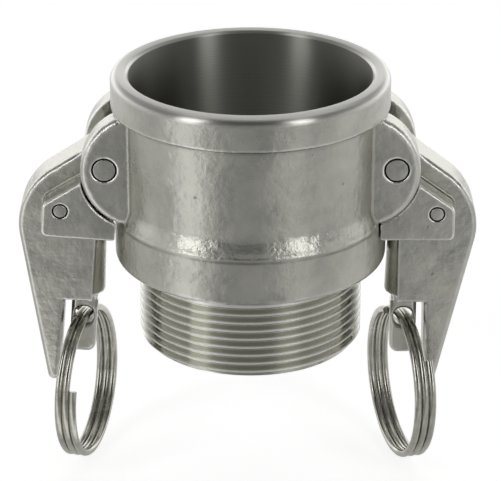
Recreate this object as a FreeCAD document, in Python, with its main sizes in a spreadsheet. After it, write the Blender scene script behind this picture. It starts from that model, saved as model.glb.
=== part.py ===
import FreeCAD, Part
import math
import os
import Sketcher

# A two inch cam and groove coupler with a male pipe thread and two self-locking cam arms.
# The origin is the middle of the flat shoulder where the thread starts.
# +Z points up out of the mouth, +X points to the right-hand arm.
# An arm and all that rides on it is drawn in its own frame, closed: X outward, Z up, origin at the pivot.

Vector = FreeCAD.Vector
xAxis = Vector(1, 0, 0)
yAxis = Vector(0, 1, 0)
zAxis = Vector(0, 0, 1)
openingAxis = Vector(0, -1, 0)

os.makedirs("parts", exist_ok=True)
doc = FreeCAD.newDocument("CamAndGrooveCoupler")
sheet = doc.addObject("Spreadsheet::Sheet", "sizes")

# driving sizes in millimetres and degrees: name, value, what it is
sizeRows = (
    ("bore_radius", 31.95, "socket that takes the adapter"),
    ("rim_height", 51.2, "shoulder to rim"),
    ("rim_bevel", 0.7, "broken outer edge of the rim"),
    ("mouth_chamfer", 0.8, "lead-in at the mouth"),
    ("collar_wall", 4.7, "thickness of the collar round the rim"),
    ("collar_height", 8.6, "height of the collar"),
    ("collar_step", 0.8, "slope under the collar"),
    ("socket_wall", 2.55, "thickness of the socket wall"),
    ("ridge_height", 12.7, "faint ridge above the shoulder"),
    ("ridge_round", 1.5, "rounded ridge"),
    ("flare_length", 4.5, "flare that rises to the ridge"),
    ("flare_round", 4.0, "where the flare leaves the wall"),
    ("bowl_wall", 2.7, "thickness of the bowl round the gasket's groove"),
    ("bowl_round", 1.8, "rounded lower edge of the bowl"),
    ("gasket_step", 1.35, "gasket's outside beyond the socket"),
    ("gasket_width", 7.7, "gasket, across its section"),
    ("gasket_thickness", 6.3, "gasket, along the axis"),
    ("gasket_bevel", 0.5, "bevelled edges of the gasket"),
    ("gasket_seat_height", 4.8, "seat of the gasket above the shoulder"),
    ("seat_gap", 0.1, "room round the gasket in its groove"),
    ("waterway_step", 0.2, "waterway inside the gasket's hole"),
    ("thread_wall", 4.4, "waterway to the crest of the thread"),
    ("thread_length", 23.3, "thread below the shoulder"),
    ("thread_chamfer", 1.5, "chamfer at the thread's end"),
    ("pivot_offset", 5.95, "arm pivot outside the socket"),
    ("pivot_height", 28.85, "arm pivot above the shoulder"),
    ("pivot_pin_radius", 3.2, "arm pivot pin"),
    ("pin_fit", 0.05, "radial room round a pin"),
    ("pin_end_gap", 0.1, "pin's end inside the face it is pressed in"),
    ("pin_bevel", 0.25, "bevelled ends of the pins"),
    ("moving_gap", 0.3, "room between pieces that move past each other"),
    ("overrun", 1.0, "how far a cut runs past the face it leaves"),
    ("ear_radius", 15.4, "ear plates"),
    ("ear_setback", 9.2, "middle of the ear, inward of the pivot"),
    ("ear_drop", 0.75, "middle of the ear, below the pivot"),
    ("ear_half_width", 14.2, "outside face of an ear from the middle plane"),
    ("ear_round", 1.6, "rounded rim of an ear"),
    ("arm_half_thickness", 5.9, "flat face of an arm from its middle plane"),
    ("cheek_half_width", 13.0, "face of the raised cheeks from the middle plane"),
    ("arm_bevel", 0.8, "bevelled rim of an arm"),
    ("slot_top", 8.35, "top of the cam slot above the pivot"),
    ("cam_radius", 6.2, "cam disc"),
    ("cam_throw", 3.4, "middle of the cam disc from the pivot"),
    ("cam_angle", 207, "direction of the cam's throw"),
    ("left_arm_angle", 4.5, "how far the left arm stands open"),
    ("head_inner", 3.5, "inner edge of the arm's head, inward of the pivot"),
    ("head_corner", 4.2, "upper inner corner of the head above the pivot"),
    ("head_peak_reach", 1.5, "top of the head over the pivot, outward"),
    ("head_peak_height", 6.2, "top of the head over the pivot, above it"),
    ("brow_reach", 6.0, "where the sloping top starts, outward"),
    ("brow_height", 1.74, "where the sloping top starts, above the pivot"),
    ("knee_reach", 24.25, "knee before rounding, outward"),
    ("knee_drop", 12.0, "knee before rounding, below the pivot"),
    ("knee_round", 18.5, "rounded knee"),
    ("housing_drop", 41.5, "lower edge of the arm's housing below the pivot"),
    ("housing_inner", 1.35, "inner edge of the housing's flat face"),
    ("neck_inner", 0.2, "inner edge of the arm behind the cheeks"),
    ("neck_round", 0.5, "corner between neck and head"),
    ("tail_drop", 24.2, "tip of the tail below the housing"),
    ("tail_gap", 1.75, "gap between the ring tab and the tail"),
    ("tail_lean", 0.35, "tail's inner side, outward at the tip"),
    ("tip_width", 2.8, "width of the tail's tip"),
    ("tip_round", 1.5, "rounded tip"),
    ("tube_radius", 5.35, "rounded latch tube on the inner side"),
    ("tube_reach", 4.15, "middle of the tube where it leaves the cheeks"),
    ("tube_angle", 2.0, "lean of the tube"),
    ("tube_wall", 1.1, "wall of the tube on its inner side"),
    ("tube_end_gap", 0.5, "tube's end above the housing's lower edge"),
    ("tube_end_round", 1.6, "rounded lower end of the tube"),
    ("cheek_bottom", 20.4, "lower edge of the raised cheeks"),
    ("cheek_rim", 4.72, "cheek outside the latch pin"),
    ("cheek_shoulder", 11.5, "outer end of the cheek's sloping top"),
    ("cheek_slope_angle", 36.1, "slope of the cheek's top"),
    ("cheek_inner", 4.6, "inner edge of the cheeks, inward of the pivot"),
    ("cheek_top_round", 2.2, "upper corner of the cheeks"),
    ("cheek_foot_round", 1.6, "lower corner of the cheeks"),
    ("cheek_bevel", 0.4, "bevelled rim of the cheeks"),
    ("latch_pin_reach", 10.88, "latch pin outward of the arm's pivot"),
    ("latch_pin_drop", 12.85, "latch pin below the arm's pivot"),
    ("latch_pin_radius", 2.0, "latch pin"),
    ("latch_eye_wall", 1.4, "latch round its pin"),
    ("latch_half_thickness", 2.6, "half the thickness of the latch"),
    ("hook_rise", 1.05, "top of the hook below the latch pin's level, about the pivot"),
    ("hook_width", 1.2, "hook"),
    ("hook_depth", 3.66, "hook's foot below the latch pin"),
    ("neck_depth", 2.06, "top of the neck below the latch pin"),
    ("heel_top_depth", 1.26, "top of the heel below the latch pin"),
    ("heel_bottom_depth", 4.86, "bottom of the heel below the latch pin"),
    ("heel_rim", 2.2, "heel outside the spring's axis"),
    ("latch_round", 0.5, "small rounded corners of the latch"),
    ("hook_round", 0.3, "rounded tip of the hook"),
    ("leg_round", 1.0, "where the latch's leg leaves the heel"),
    ("latch_room", 0.8, "room round the latch's heel"),
    ("roof_room", 0.54, "room over the latch's eye"),
    ("lip_gap", 0.2, "lip above the hook's path"),
    ("lip_width", 1.1, "keeper's lip"),
    ("lip_setback", 0.6, "lip inward of the pivot"),
    ("shelf_thickness", 2.0, "keeper's shelf"),
    ("shelf_rise", 1.7, "underside of the shelf above the hook's path"),
    ("shelf_gap", 0.85, "shelf below the cam slot"),
    ("keeper_root", 1.1, "keeper's root inside the socket wall"),
    ("keeper_bite", 0.2, "keeper's ends inside the ears"),
    ("notch_room", 0.5, "room in the bowl round the hook"),
    ("notch_depth", 0.9, "room below the hook"),
    ("tab_middle", 3.35, "middle of the ring tab, outward"),
    ("tab_width", 7.1, "ring tab"),
    ("tab_gap", 1.1, "top of the tab below the housing"),
    ("tab_drop", 16.6, "lower end of the ring tab below the housing"),
    ("tab_round", 2.4, "lower corners of the ring tab"),
    ("tab_bevel", 0.9, "bevelled edges of the ring tab"),
    ("tab_shoulder", 0.15, "tab's shoulder beyond its bevel"),
    ("ring_hole_radius", 2.65, "hole for the pull ring"),
    ("ring_hole_lead", 0.7, "lead-in at both ends of the ring's hole"),
    ("ring_hole_drop", 5.9, "hole for the pull ring below the housing"),
    ("ring_radius", 20.0, "middle of the ring's wire"),
    ("ring_wire", 0.98, "radius of the ring's wire"),
    ("ring_wire_gap", 0.04, "gap between the ring's turns"),
    ("ring_sag", 0.3, "middle of the wires below the middle of the hole"),
    ("ring_yaw_angle", 14.6, "how the rings hang, turned about the vertical"),
    ("right_ring_start_angle", -15, "upper wire end, degrees towards the front"),
    ("right_ring_end_angle", 50, "lower wire end"),
    ("left_ring_start_angle", -12, "upper wire end, degrees towards the front"),
    ("left_ring_end_angle", 73, "lower wire end"),
    ("spring_radius", 1.6, "middle of the spring's wire"),
    ("spring_wire", 0.5, "side of the spring's square wire"),
    ("spring_gap", 0.27, "gap between the latch's eye and the spring"),
    ("spring_turns", 4, "coils of the latch spring"),
)
for row, (alias, value, meaning) in enumerate(sizeRows, start=1):
    sheet.set(f"A{row}", alias)
    sheet.set(f"B{row}", str(value))
    sheet.set(f"C{row}", meaning)
    sheet.setAlias(f"B{row}", alias)
doc.recompute()


class Sizes:
    """The sheet's values by name."""

    def __getattr__(self, alias):
        return float(sheet.get(alias))


size = Sizes()

# radii that follow from the socket
wallRadius = size.bore_radius + size.socket_wall
collarRadius = size.bore_radius + size.collar_wall
gasketOuter = size.bore_radius + size.gasket_step
gasketInner = gasketOuter - size.gasket_width
grooveRadius = gasketOuter + size.seat_gap
bowlRadius = grooveRadius + size.bowl_wall
waterwayRadius = gasketInner - size.waterway_step
threadRadius = waterwayRadius + size.thread_wall
pivotReach = size.bore_radius + size.pivot_offset
flareTop = size.ridge_height + size.flare_length

# heights and reaches of the latch in the arm's frame
eyeRadius = size.latch_pin_radius + size.latch_eye_wall
springReach = size.latch_pin_reach + eyeRadius + size.spring_gap + size.spring_radius + size.spring_wire / 2
cavityRoof = -size.latch_pin_drop + eyeRadius + size.roof_room
heelTop = -size.latch_pin_drop - size.heel_top_depth
heelBottom = -size.latch_pin_drop - size.heel_bottom_depth
heelOuter = springReach + size.heel_rim
hookRadius = size.latch_pin_drop + size.hook_rise
hookOuter = -size.lip_setback - size.lip_width - size.moving_gap
hookInner = hookOuter - size.hook_width
hookBottom = -size.latch_pin_drop - size.hook_depth
shelfBottom = -hookRadius + size.shelf_rise
shelfTop = shelfBottom + size.shelf_thickness
slotBottom = shelfTop + size.shelf_gap
housingBottom = -size.housing_drop
tabInner = size.tab_middle - size.tab_width / 2
tabOuter = size.tab_middle + size.tab_width / 2
tabTop = housingBottom - size.tab_gap
ringHoleHeight = housingBottom - size.ring_hole_drop
tailInner = tabOuter + size.tail_gap


# drawing helpers


def corner(before, point, after, radius):
    """The two ends and the middle of the arc that rounds a corner."""
    toBefore = (before - point).normalize()
    toAfter = (after - point).normalize()
    half = toBefore.getAngle(toAfter) / 2
    reach = radius / math.tan(half)
    start = point + toBefore * reach
    end = point + toAfter * reach
    bisector = (toBefore + toAfter).normalize()
    middle = point + bisector * (radius / math.sin(half) - radius)
    return start, middle, end


def roundedEdges(corners, closed=True):
    """Lines and arcs through (x, y, radius) corners; an open path keeps its two ends sharp."""
    points = [Vector(x, y, 0) for x, y, radius in corners]
    radii = [radius for x, y, radius in corners]
    count = len(points)
    stops = []
    for i, point in enumerate(points):
        isEnd = not closed and i in (0, count - 1)
        if radii[i] > 0 and not isEnd:
            stops.append(corner(points[i - 1], point, points[(i + 1) % count], radii[i]))
        else:
            stops.append((point, None, point))
    edges = []
    for i in range(count if closed else count - 1):
        start, middle, end = stops[i]
        if middle is not None:
            edges.append(Part.Arc(start, middle, end))
        edges.append(Part.LineSegment(end, stops[(i + 1) % count][0]))
    return edges


def addSketch(body, name, plane="XZ_Plane", offset=None):
    sketch = body.newObject("Sketcher::SketchObject", name)
    sketch.AttachmentSupport = [(originPlane(body, plane), "")]
    sketch.MapMode = "FlatFace"
    if offset is not None:
        sketch.AttachmentOffset = offset
    return sketch


def originPlane(body, role):
    return next(feature for feature in body.Origin.OriginFeatures if feature.Role == role)


def draw(sketch, edges):
    """Adds an outline and pins it where the sizes put it."""
    for edge in edges:
        index = sketch.addGeometry(edge, False)
        sketch.addConstraint(Sketcher.Constraint("Block", index))


def drawCircle(sketch, x, y, expression):
    """Adds a circle whose radius follows the sheet."""
    index = sketch.addGeometry(Part.Circle(Vector(x, y, 0), zAxis, 1), False)
    sketch.addConstraint(Sketcher.Constraint("DistanceX", -1, 1, index, 3, x))
    sketch.addConstraint(Sketcher.Constraint("DistanceY", -1, 1, index, 3, y))
    radiusIndex = sketch.addConstraint(Sketcher.Constraint("Radius", index, 1))
    sketch.setExpression(f"Constraints[{radiusIndex}]", expression)


def at(point):
    """A placement that only moves."""
    return FreeCAD.Placement(point, FreeCAD.Rotation())


pivotHoleRadius = "sizes.pivot_pin_radius + sizes.pin_fit"
latchHoleRadius = "sizes.latch_pin_radius + sizes.pin_fit"
throughEars = "2 * (sizes.ear_half_width + sizes.overrun)"


def addBody(label):
    body = doc.addObject("PartDesign::Body", label)
    body.Label = label
    return body


def turn(body, name, sketch, kind="PartDesign::Revolution"):
    """A full turn about the sketch's own upright axis."""
    feature = body.newObject(kind, name)
    feature.Profile = sketch
    feature.ReferenceAxis = (sketch, ["V_Axis"])
    feature.Angle = 360
    doc.recompute()
    return feature


def thicken(body, name, sketch, expression, kind="PartDesign::Pad"):
    """A pad or pocket of the given width, half of it on each side of the middle plane."""
    feature = body.newObject(kind, name)
    feature.Profile = sketch
    feature.Midplane = True
    feature.setExpression("Length", expression)
    doc.recompute()
    return feature


def edgesWhere(feature, test):
    """Names of the edges that pass a test."""
    return [f"Edge{i}" for i, edge in enumerate(feature.Shape.Edges, start=1) if test(edge)]


def soften(body, name, base, test, expression):
    """Bevels the edges that pass a test."""
    feature = body.newObject("PartDesign::Chamfer", name)
    feature.Base = (base, edgesWhere(base, test))
    feature.setExpression("Size", expression)
    doc.recompute()
    return feature


# coupler body


def outerProfile():
    """Right half of the turned outside, from the rim down to the thread's end."""
    rim = size.rim_height
    collarFoot = rim - size.collar_height
    return (
        (0, rim, 0),
        (collarRadius - size.rim_bevel, rim, 0),
        (collarRadius, rim - size.rim_bevel, 0),
        (collarRadius, collarFoot, 0),
        (wallRadius, collarFoot - size.collar_step, 0),
        (wallRadius, flareTop, size.flare_round),
        (bowlRadius, size.ridge_height, size.ridge_round),
        (bowlRadius, 0, size.bowl_round),
        (threadRadius, 0, 0),
        (threadRadius, size.thread_chamfer - size.thread_length, 0),
        (threadRadius - size.thread_chamfer, -size.thread_length, 0),
        (0, -size.thread_length, 0),
    )


def innerProfile():
    """Right half of the inside: mouth, socket, gasket groove and waterway."""
    over = size.overrun
    rim = size.rim_height
    grooveTop = size.gasket_seat_height + size.gasket_thickness + 2 * size.seat_gap
    mouthRadius = size.bore_radius + size.mouth_chamfer
    return (
        (0, rim + over, 0),
        (mouthRadius + over, rim + over, 0),
        (size.bore_radius, rim - size.mouth_chamfer, 0),
        (size.bore_radius, grooveTop, 0),
        (grooveRadius, grooveTop, 0),
        (grooveRadius, size.gasket_seat_height, 0),
        (waterwayRadius, size.gasket_seat_height, 0),
        (waterwayRadius, -size.thread_length - over, 0),
        (0, -size.thread_length - over, 0),
    )


def earProfile(side, face):
    """One ear plate's section beside its own turning axis, on one face of the middle plane."""
    inner = face * (size.arm_half_thickness + size.moving_gap)
    outer = face * size.ear_half_width
    return (
        (0, inner, 0),
        (side * size.ear_radius, inner, 0),
        (side * size.ear_radius, outer, size.ear_round),
        (0, outer, 0),
    )


def sideRectangle(side, inner, outer, bottom, top):
    return (
        (side * inner, bottom, 0),
        (side * outer, bottom, 0),
        (side * outer, top, 0),
        (side * inner, top, 0),
    )


def onPath(radius, reach):
    """How far below the pivot a point of the given reach lies on a circle about the pivot."""
    return -math.sqrt(radius**2 - reach**2)


def keeperProfile(side):
    """Rib between the ears with a lip that hangs down in front of the latch's hook."""
    height = size.pivot_height
    lipOuter = -size.lip_setback
    lipInner = lipOuter - size.lip_width
    lipRadius = hookRadius - size.lip_gap
    root = wallRadius - size.keeper_root
    return (
        (side * root, height + shelfTop, 0),
        (side * (pivotReach + lipOuter), height + shelfTop, 0),
        (side * (pivotReach + lipOuter), height + onPath(lipRadius, lipOuter), 0),
        (side * (pivotReach + lipInner), height + onPath(lipRadius, lipInner), 0),
        (side * (pivotReach + lipInner), height + shelfBottom, 0),
        (side * root, height + shelfBottom, 0),
    )


def slotRectangle(side):
    """Slot that lets the arm's head and cam into the socket."""
    bottom = size.pivot_height + slotBottom
    return sideRectangle(side, waterwayRadius, pivotReach, bottom, size.pivot_height + size.slot_top)


def notchRectangle(side):
    """Room for the latch's hook in the outside of the bowl."""
    inner = pivotReach + hookInner - size.notch_room
    bottom = size.pivot_height + hookBottom - size.notch_depth
    return sideRectangle(side, inner, pivotReach, bottom, size.pivot_height + shelfBottom)


def makeCouplerBody():
    body = addBody("coupler_body")
    outside = addSketch(body, "outside_profile")
    draw(outside, roundedEdges(outerProfile()))
    turn(body, "outside", outside)
    for side, word in ((1, "right"), (-1, "left")):
        middle = Vector(side * (pivotReach - size.ear_setback), 0, size.pivot_height - size.ear_drop)
        ears = addSketch(body, f"{word}_ear_profile", "XY_Plane", at(middle))
        draw(ears, roundedEdges(earProfile(side, 1)))
        draw(ears, roundedEdges(earProfile(side, -1)))
        turn(body, f"{word}_ears", ears)
    inside = addSketch(body, "inside_profile")
    draw(inside, roundedEdges(innerProfile()))
    turn(body, "inside", inside, "PartDesign::Groove")
    slots = addSketch(body, "slot_outline")
    notches = addSketch(body, "notch_outline")
    keepers = addSketch(body, "keeper_outline")
    pins = addSketch(body, "pivot_hole_outline")
    for side in (1, -1):
        draw(slots, roundedEdges(slotRectangle(side)))
        draw(notches, roundedEdges(notchRectangle(side)))
        draw(keepers, roundedEdges(keeperProfile(side)))
        drawCircle(pins, side * pivotReach, size.pivot_height, pivotHoleRadius)
    earGap = "2 * (sizes.arm_half_thickness + sizes.moving_gap)"
    latchRoom = "2 * (sizes.latch_half_thickness + 2 * sizes.moving_gap)"
    thicken(body, "cam_slots", slots, earGap, "PartDesign::Pocket")
    thicken(body, "latch_notches", notches, latchRoom, "PartDesign::Pocket")
    thicken(body, "latch_keepers", keepers, earGap + " + 2 * sizes.keeper_bite")
    thicken(body, "pivot_holes", pins, throughEars, "PartDesign::Pocket")
    return body


def makeGasket():
    gasket = addBody("gasket")
    section = addSketch(gasket, "gasket_section")
    foot = size.gasket_seat_height + size.seat_gap / 2
    top = foot + size.gasket_thickness
    bevel = size.gasket_bevel
    draw(
        section,
        roundedEdges(
            (
                (gasketInner, foot + bevel, 0),
                (gasketInner + bevel, foot, 0),
                (gasketOuter - bevel, foot, 0),
                (gasketOuter, foot + bevel, 0),
                (gasketOuter, top - bevel, 0),
                (gasketOuter - bevel, top, 0),
                (gasketInner + bevel, top, 0),
                (gasketInner, top - bevel, 0),
            )
        ),
    )
    turn(gasket, "gasket_ring", section)
    return gasket


# cam arm


def slabOutline():
    """Flat of the arm: head over the cam, sloping top, knee, tapering tail and housing."""
    tailTip = housingBottom - size.tail_drop
    tipInner = tailInner + size.tail_lean
    neckTop = slotBottom - size.shelf_gap / 3
    headBottom = slotBottom + 2.5 * size.shelf_gap
    return (
        (size.head_peak_reach, size.head_peak_height, 0),
        (size.brow_reach, size.brow_height, 0),
        (size.knee_reach, -size.knee_drop, size.knee_round),
        (tipInner + size.tip_width, tailTip, size.tip_round),
        (tipInner, tailTip, size.tip_round),
        (tailInner, housingBottom, 0),
        (size.housing_inner, housingBottom, 0),
        (size.housing_inner, -size.cheek_bottom, 0),
        (size.neck_inner, -size.cheek_bottom, 0),
        (size.neck_inner, neckTop, size.neck_round),
        (-size.head_inner, headBottom, 0),
        (-size.head_inner, size.head_corner, 0),
    )


def cheekEdges():
    """Raised cheek: it follows the ear on its inner side."""
    relief = size.ear_radius + size.moving_gap
    middle = Vector(-size.ear_setback, -size.ear_drop, 0)
    outer = size.latch_pin_reach + size.cheek_rim
    topAt = Vector(outer, -size.cheek_shoulder, 0)
    upper = meetCircle(middle, relief, topAt, -math.tan(math.radians(size.cheek_slope_angle)))
    innerX = -size.cheek_inner
    lower = Vector(innerX, middle.y - math.sqrt(relief**2 - (innerX - middle.x) ** 2), 0)
    path = (
        (upper.x, upper.y, 0),
        (topAt.x, topAt.y, size.cheek_top_round),
        (outer, -size.cheek_bottom, size.cheek_foot_round),
        (innerX, -size.cheek_bottom, 0),
        (lower.x, lower.y, 0),
    )
    halfway = (upper + lower) * 0.5 - middle
    return roundedEdges(path, closed=False) + [Part.Arc(lower, middle + halfway.normalize() * relief, upper)]


def meetCircle(middle, radius, point, slope):
    """Where a sloping line meets the right side of a circle."""
    along = Vector(1, slope, 0).normalize()
    toPoint = point - middle
    across = toPoint - along * toPoint.dot(along)
    return middle + across + along * math.sqrt(radius**2 - across.Length**2)


def tubeInside(height):
    """Inner wall of the latch tube's hollow at a height in the arm's frame."""
    lean = math.tan(math.radians(size.tube_angle)) * (height + size.cheek_bottom)
    return size.tube_reach + lean - size.tube_radius + size.tube_wall


def cavityOutline():
    """Room for the latch and its spring: open inward for the hook and downward for the tab."""
    room = size.latch_room
    hookRoof = -hookRadius + room
    floor = heelBottom - 1.5 * room
    mouth = housingBottom - 2 * size.overrun
    innerEnd = -size.cheek_inner - 1.5 * size.overrun
    eyeSide = size.latch_pin_reach - eyeRadius - room
    outer = heelOuter + room
    return (
        (innerEnd, hookRoof, 0),
        (eyeSide, hookRoof, 0),
        (eyeSide, cavityRoof, room),
        (outer, cavityRoof, room),
        (outer, floor, room),
        (tabOuter, floor, 0),
        (tabOuter + room, mouth, 0),
        (tubeInside(mouth), mouth, 0),
        (tubeInside(floor), floor, 0),
        (innerEnd, floor, 0),
    )


def tubeProfile():
    """Half section of the latch tube with its rounded lower end, beside its own axis."""
    length = size.housing_drop - size.cheek_bottom - size.tube_end_gap
    top = 1.5 * size.overrun
    return (
        (0, top, 0),
        (size.tube_radius, top, 0),
        (size.tube_radius, -length, size.tube_end_round),
        (0, -length, 0),
    )


def bowlReliefOutline():
    """Section of the room that the bowl needs when the arm is shut, seen from the arm's frame."""
    clearRadius = bowlRadius + size.moving_gap
    bottom = -size.pivot_height - 2 * size.overrun
    top = flareTop + 2 * size.overrun - size.pivot_height
    return (
        (waterwayRadius, bottom, 0),
        (clearRadius, bottom, 0),
        (clearRadius, top, 0),
        (waterwayRadius, top, 0),
    )


def makeArm(label):
    arm = addBody(label)
    head = addSketch(arm, "cam_disc_outline")
    throw = math.radians(size.cam_angle)
    drawCircle(head, size.cam_throw * math.cos(throw), size.cam_throw * math.sin(throw), "sizes.cam_radius")
    thicken(arm, "cam_disc", head, "2 * sizes.arm_half_thickness")
    outline = addSketch(arm, "slab_outline")
    draw(outline, roundedEdges(slabOutline()))
    slab = thicken(arm, "slab", outline, "2 * sizes.arm_half_thickness")
    soften(arm, "bevelled_rim", slab, isOuterRim, "sizes.arm_bevel")
    tubeTop = Vector(size.tube_reach, -size.cheek_bottom, 0)
    lean = FreeCAD.Placement(tubeTop, FreeCAD.Rotation(zAxis, -size.tube_angle))
    tubeSection = addSketch(arm, "tube_section", "XZ_Plane", lean)
    draw(tubeSection, roundedEdges(tubeProfile()))
    turn(arm, "latch_tube", tubeSection)
    cheek = addSketch(arm, "cheek_outline")
    draw(cheek, cheekEdges())
    cheeks = thicken(arm, "cheeks", cheek, "2 * sizes.cheek_half_width")
    soften(arm, "bevelled_cheeks", cheeks, isCheekRim, "sizes.cheek_bevel")
    relief = addSketch(arm, "bowl_relief_section", "XZ_Plane", at(Vector(-pivotReach, 0, 0)))
    draw(relief, roundedEdges(bowlReliefOutline()))
    turn(arm, "bowl_relief", relief, "PartDesign::Groove")
    cavity = addSketch(arm, "cavity_outline")
    draw(cavity, roundedEdges(cavityOutline()))
    thicken(arm, "cavity", cavity, "2 * (sizes.latch_half_thickness + sizes.moving_gap)", "PartDesign::Pocket")
    holes = addSketch(arm, "pin_hole_outline")
    drawCircle(holes, 0, 0, pivotHoleRadius)
    drawCircle(holes, size.latch_pin_reach, -size.latch_pin_drop, latchHoleRadius)
    thicken(arm, "pin_holes", holes, throughEars, "PartDesign::Pocket")
    return arm


def isOuterRim(edge):
    """Edges of the slab's two faces along the top, the knee, the tail and its tip."""
    middle = edge.valueAt((edge.FirstParameter + edge.LastParameter) / 2)
    onFace = abs(abs(middle.y) - size.arm_half_thickness) < 0.01
    along = abs(edge.Vertexes[0].Point.y - edge.Vertexes[-1].Point.y) < 0.01
    offHousing = abs(middle.z - housingBottom) > 0.01 or middle.x > tailInner
    return onFace and along and offHousing and middle.x > tabOuter


def isCheekRim(edge):
    """Edges of the cheeks' outer faces."""
    points = [vertex.Point for vertex in edge.Vertexes]
    return all(abs(abs(point.y) - size.cheek_half_width) < 0.01 for point in points)


# latch


def latchOutline():
    """Hook, neck, heel under the spring, leg down the tube and the ring tab."""
    shoulder = size.tab_bevel + size.tab_shoulder
    legInner = tabInner + shoulder
    legOuter = tabOuter - shoulder
    tabBottom = housingBottom - size.tab_drop
    neckTop = -size.latch_pin_drop - size.neck_depth
    return (
        (hookInner, onPath(hookRadius, hookInner), size.hook_round),
        (hookOuter, onPath(hookRadius, hookOuter), size.hook_round),
        (hookOuter, neckTop, 0),
        (size.latch_pin_reach - eyeRadius, neckTop, 0),
        (size.latch_pin_reach - size.latch_eye_wall, heelTop, 0),
        (heelOuter, heelTop, size.latch_round),
        (heelOuter, heelBottom, size.latch_round),
        (legOuter, heelBottom, size.leg_round),
        (legOuter, tabTop, 0),
        (tabOuter, tabTop, 0),
        (tabOuter, tabBottom, size.tab_round),
        (tabInner, tabBottom, size.tab_round),
        (tabInner, tabTop, 0),
        (legInner, tabTop, 0),
        (legInner, heelBottom, size.leg_round),
        (hookInner, hookBottom, size.latch_round),
    )


def isTabEdge(edge):
    """Edges of the ring tab's two faces, down both sides and round the end."""
    points = [vertex.Point for vertex in edge.Vertexes]
    onFace = all(abs(abs(point.y) - size.latch_half_thickness) < 0.01 for point in points)
    onTab = all(point.z < tabTop + 0.01 for point in points) and edge.CenterOfMass.z < tabTop - 0.01
    return onFace and onTab


def ringHoleProfile():
    """Half section of the ring's hole, opening out at both faces."""
    over = size.overrun
    face = size.latch_half_thickness
    mouth = size.ring_hole_radius + size.ring_hole_lead + over
    land = face - size.ring_hole_lead
    return (
        (0, -face - over, 0),
        (mouth, -face - over, 0),
        (size.ring_hole_radius, -land, 0),
        (size.ring_hole_radius, land, 0),
        (mouth, face + over, 0),
        (0, face + over, 0),
    )


def makeLatch(label):
    latch = addBody(label)
    eye = addSketch(latch, "eye_outline")
    eyeSize = "sizes.latch_pin_radius + sizes.latch_eye_wall"
    drawCircle(eye, size.latch_pin_reach, -size.latch_pin_drop, eyeSize)
    thicken(latch, "eye", eye, "2 * sizes.latch_half_thickness")
    outline = addSketch(latch, "latch_outline")
    draw(outline, roundedEdges(latchOutline()))
    plate = thicken(latch, "plate", outline, "2 * sizes.latch_half_thickness")
    soften(latch, "tab_bevels", plate, isTabEdge, "sizes.tab_bevel")
    section = addSketch(latch, "ring_hole_section", "XY_Plane", at(Vector(size.tab_middle, 0, ringHoleHeight)))
    draw(section, roundedEdges(ringHoleProfile()))
    turn(latch, "ring_hole", section, "PartDesign::Groove")
    holes = addSketch(latch, "pin_hole_outline")
    drawCircle(holes, size.latch_pin_reach, -size.latch_pin_drop, latchHoleRadius)
    thicken(latch, "pin_hole", holes, throughEars, "PartDesign::Pocket")
    return latch


# pins, springs and rings


def makePin(label, radiusExpression, faceAlias):
    """A plain cross pin with bevelled ends, drawn about its own middle."""
    shank = doc.addObject("Part::Cylinder", label + "_shank")
    shank.setExpression("Radius", radiusExpression)
    shank.setExpression("Height", f"2 * (sizes.{faceAlias} - sizes.pin_end_gap)")
    doc.recompute()
    pin = doc.addObject("Part::Chamfer", label)
    pin.Base = shank
    rims = [i for i, edge in enumerate(shank.Shape.Edges, start=1) if edge.Closed and len(edge.Vertexes) == 1]
    pin.Edges = [(i, size.pin_bevel, size.pin_bevel) for i in rims]
    pin.Label = label
    doc.recompute()
    return pin


def pinPlacement(carrier, x, z, halfWidth):
    """Lays a pin across its carrier, centred on the middle plane."""
    across = FreeCAD.Placement(Vector(x, halfWidth - size.pin_end_gap, z), FreeCAD.Rotation(xAxis, 90))
    return carrier.multiply(across)


def helicalWire(label, radius, pitch, turns, section, leftHanded=False):
    """A wire of the given section wound about Z, starting at +X."""
    coil = Part.makeLongHelix(pitch, pitch * turns, radius, 0, leftHanded)
    winding = Part.Wire(coil.Edges).makePipeShell([section], True, True)
    feature = doc.addObject("Part::Feature", label)
    feature.Shape = winding
    feature.Label = label
    return feature


def polygonSection(middleX, radius, sides, first=0.5):
    corners = []
    for i in range(sides + 1):
        angle = 2 * math.pi * (i % sides + first) / sides
        corners.append(Vector(middleX + radius * math.cos(angle), 0, radius * math.sin(angle)))
    return Part.makePolygon(corners)


def makeSpring(label, carrier):
    """Square-wire spring between the heel of the latch and the roof of the cavity."""
    wire = size.spring_wire
    seat = size.seat_gap / 2
    travel = cavityRoof - heelTop - wire - 2 * seat
    section = polygonSection(size.spring_radius, wire / math.sqrt(2), 4)
    spring = helicalWire(label, size.spring_radius, travel / size.spring_turns, size.spring_turns, section)
    foot = Vector(springReach, 0, heelTop + wire / 2 + seat)
    spring.Placement = carrier.multiply(FreeCAD.Placement(foot, FreeCAD.Rotation()))
    return spring


def makeRing(label, start, end, hang):
    """Split ring of nearly three turns; angles run from the top towards the front."""
    turns = 3 - (end - start) / 360
    pitch = 2 * size.ring_wire + size.ring_wire_gap
    section = polygonSection(size.ring_radius, size.ring_wire, 8)
    ring = helicalWire(label, size.ring_radius, pitch, turns, section, True)
    centred = at(-zAxis * pitch * (1.5 + start / 360))
    spin = FreeCAD.Placement(Vector(), FreeCAD.Rotation(zAxis, 90 + start))
    upright = FreeCAD.Rotation(yAxis, zAxis, xAxis, "XYZ")
    flat = FreeCAD.Placement(-zAxis * size.ring_radius, upright)
    ring.Placement = hang.multiply(flat).multiply(spin).multiply(centred)
    return ring


# putting it together


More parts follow.
